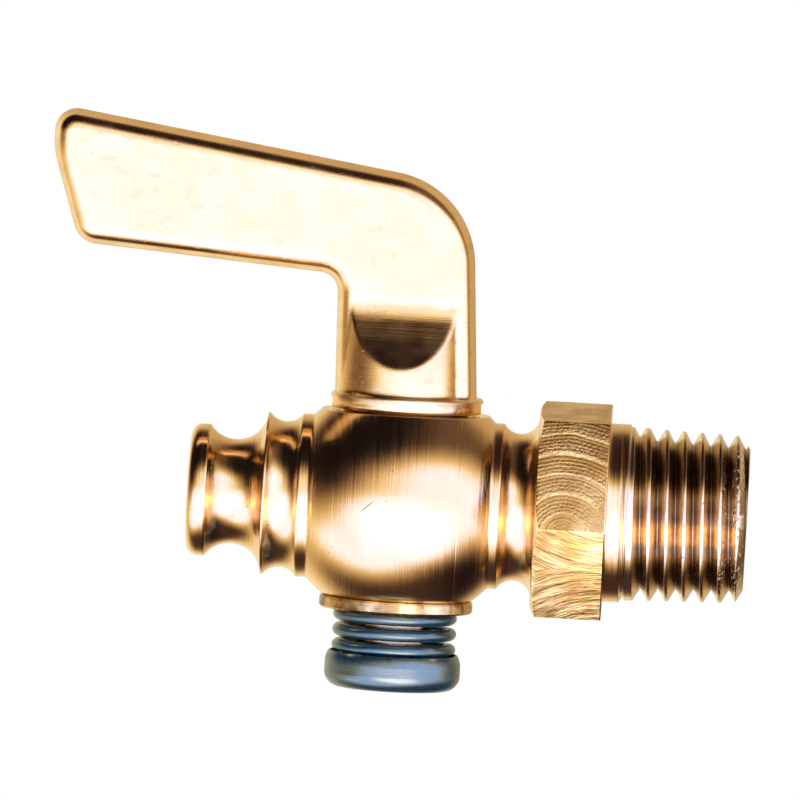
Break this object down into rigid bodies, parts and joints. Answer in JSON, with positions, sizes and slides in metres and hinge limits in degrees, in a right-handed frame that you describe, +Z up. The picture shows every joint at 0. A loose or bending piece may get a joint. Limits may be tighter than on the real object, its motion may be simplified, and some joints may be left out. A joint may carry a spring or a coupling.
{
  "type": "drain cock",
  "caption": "Small brass drain cock with a globe body, flared outlet nose, hexagon and tapered pipe thread; a lever turns its spring-loaded ground plug to open or shut the waterway.",
  "frame": {"origin": "where the waterway's axis and the plug's axis cross, in the middle of the globe", "axes": "+X along the waterway towards the pipe thread, so the outlet nose is at -X; +Z up the plug's axis towards the lever"},
  "size_m": [0.0566, 0.0194, 0.0448],
  "materials": {
    "body_brass": "turned and polished brass",
    "lever_brass": "cast brass, tumbled bright",
    "washer_brass": "stamped brass",
    "spring_steel": "blued steel wire",
    "cap_steel": "blued pressed steel"
  },
  "bodies": {
    "body": {"valve_body": "body_brass"},
    "plug": {"plug_lever": "lever_brass", "key_washer": "washer_brass", "spring": "spring_steel", "spring_cap": "cap_steel"}
  },
  "joints": [
    {"name": "plug_turn", "type": "hinge", "parent": "body", "child": "plug", "pos_m": [0, 0, 0], "axis": [0, 0, 1], "continuous": true}
  ]
}
